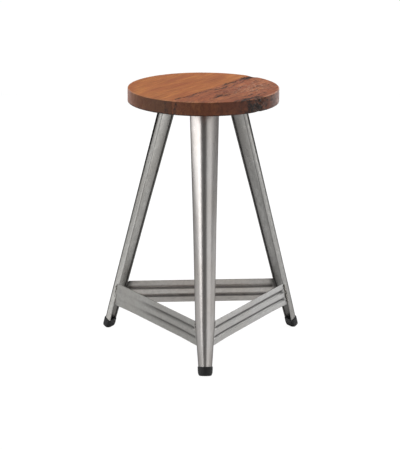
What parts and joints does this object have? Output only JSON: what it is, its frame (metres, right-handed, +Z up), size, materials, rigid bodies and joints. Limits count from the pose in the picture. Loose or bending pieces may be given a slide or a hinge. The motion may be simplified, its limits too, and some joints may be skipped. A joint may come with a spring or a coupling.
{
  "type": "bar stool with footrest",
  "caption": "Three-legged workshop bar stool: round reclaimed-wood seat on splayed pressed-steel legs tied by a triangular pressed-rail footrest, with rubber feet.",
  "frame": {"origin": "on the floor, at the middle of the bottom of the bounding box", "axes": "+Z up, the front leg points to -Y, +X is to the right of someone facing +Y"},
  "size_m": [0.4726, 0.4458, 0.615],
  "materials": {
    "wood": "oiled reclaimed hardwood, satin",
    "steel": "raw brushed sheet steel under a clear coat",
    "zinc": "bright zinc plate",
    "rubber": "matt moulded rubber"
  },
  "bodies": {
    "root": {"seat_board_wide": "wood", "seat_board_narrow": "wood", "seat_plate": "steel", "seat_screw_inner_1": "zinc", "seat_screw_outer_1": "zinc", "seat_screw_inner_2": "zinc", "seat_screw_outer_2": "zinc", "seat_screw_inner_3": "zinc", "seat_screw_outer_3": "zinc", "leg_front": "steel", "foot_cap_front": "rubber", "leg_right": "steel", "foot_cap_right": "rubber", "leg_left": "steel", "foot_cap_left": "rubber", "footrest_right": "steel", "footrest_back": "steel", "footrest_left": "steel"}
  },
  "joints": []
}
